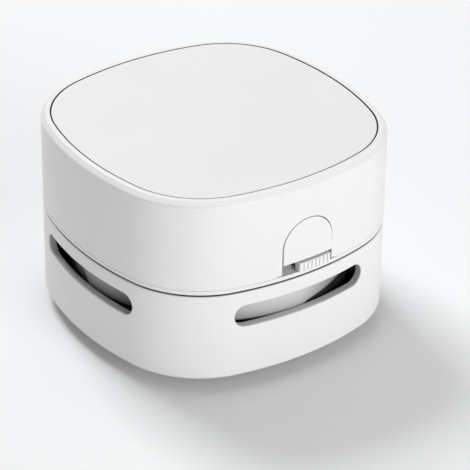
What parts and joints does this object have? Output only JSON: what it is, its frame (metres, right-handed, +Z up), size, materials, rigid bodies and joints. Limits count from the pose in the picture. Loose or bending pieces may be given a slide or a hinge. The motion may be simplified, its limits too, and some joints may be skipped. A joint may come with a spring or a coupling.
{
  "type": "desktop mini vacuum cleaner",
  "caption": "Rounded-square desk vacuum: twist-off dust base with side air slots and a bristle ring, lift-off battery cover, slide switch and a turning fan inside.",
  "frame": {"origin": "centre of the footprint, on the plane of the bristle tips that it stands on", "axes": "+Z up through the inlet, the fan and the top panel; -Y towards the side with the switch; +X to the right seen from the switch side"},
  "size_m": [0.086, 0.0869, 0.058],
  "materials": {
    "shell_white": "satin",
    "panel_white": "satin",
    "cup_grey": "satin",
    "inner_white": "matt",
    "foam_black": "open-cell foam",
    "bristle_white": "nylon bristle",
    "filter_felt": "felt",
    "seal_rubber": "matt",
    "screw_steel": "zinc plated",
    "can_steel": "plated",
    "cap_black": "matt",
    "magnet_dark": "matt",
    "core_steel": "laminated",
    "winding_copper": "enamelled wire",
    "contact_nickel": "nickel plated",
    "battery_case": "printed sleeve, no print",
    "board_green": "solder mask",
    "lead_red": "sheath",
    "lead_black": "sheath"
  },
  "bodies": {
    "dust_unit": {"lower_shell": "shell_white", "dust_cup": "cup_grey", "exhaust_foam": "foam_black", "base_plate": "inner_white", "base_screws": "screw_steel", "brush_carrier": "inner_white", "brush_bristles": "bristle_white"},
    "motor_unit": {"chassis": "shell_white", "fan_shroud": "inner_white", "shroud_screws": "screw_steel", "cup_seal": "seal_rubber", "filter_frame": "inner_white", "filter_pad": "filter_felt", "motor_can": "can_steel", "motor_end_cap": "cap_black", "motor_terminals": "contact_nickel", "motor_magnets": "magnet_dark", "motor_damper": "seal_rubber", "motor_clip": "contact_nickel", "clip_screws": "screw_steel", "battery_left": "battery_case", "battery_right": "battery_case", "contact_plus": "contact_nickel", "contact_minus": "contact_nickel", "contact_bridge": "contact_nickel", "contact_springs": "contact_nickel", "switch_pad": "shell_white", "switch_case": "contact_nickel", "switch_board": "board_green", "lead_positive": "lead_red", "lead_switch": "lead_red", "lead_negative": "lead_black"},
    "rotor": {"motor_shaft": "can_steel", "impeller": "inner_white", "motor_armature": "core_steel", "armature_windings": "winding_copper", "commutator": "winding_copper"},
    "switch_slider": {"switch_knob": "shell_white"},
    "top_cover": {"upper_cover": "shell_white", "top_panel": "panel_white"}
  },
  "joints": [
    {"name": "twist_lock", "type": "hinge", "parent": "dust_unit", "child": "motor_unit", "pos_m": [0, 0, 0.0303], "axis": [0, 0, 1], "range_deg": [0, 20]},
    {"name": "cover_lift", "type": "slide", "parent": "motor_unit", "child": "top_cover", "axis": [0, 0, 1], "range_m": [0, 0.03]},
    {"name": "switch_slide", "type": "slide", "parent": "motor_unit", "child": "switch_slider", "axis": [-1, 0, 0], "range_m": [0, 0.004]},
    {"name": "fan_spin", "type": "hinge", "parent": "motor_unit", "child": "rotor", "pos_m": [0, 0, 0.03], "axis": [0, 0, 1], "continuous": true}
  ]
}
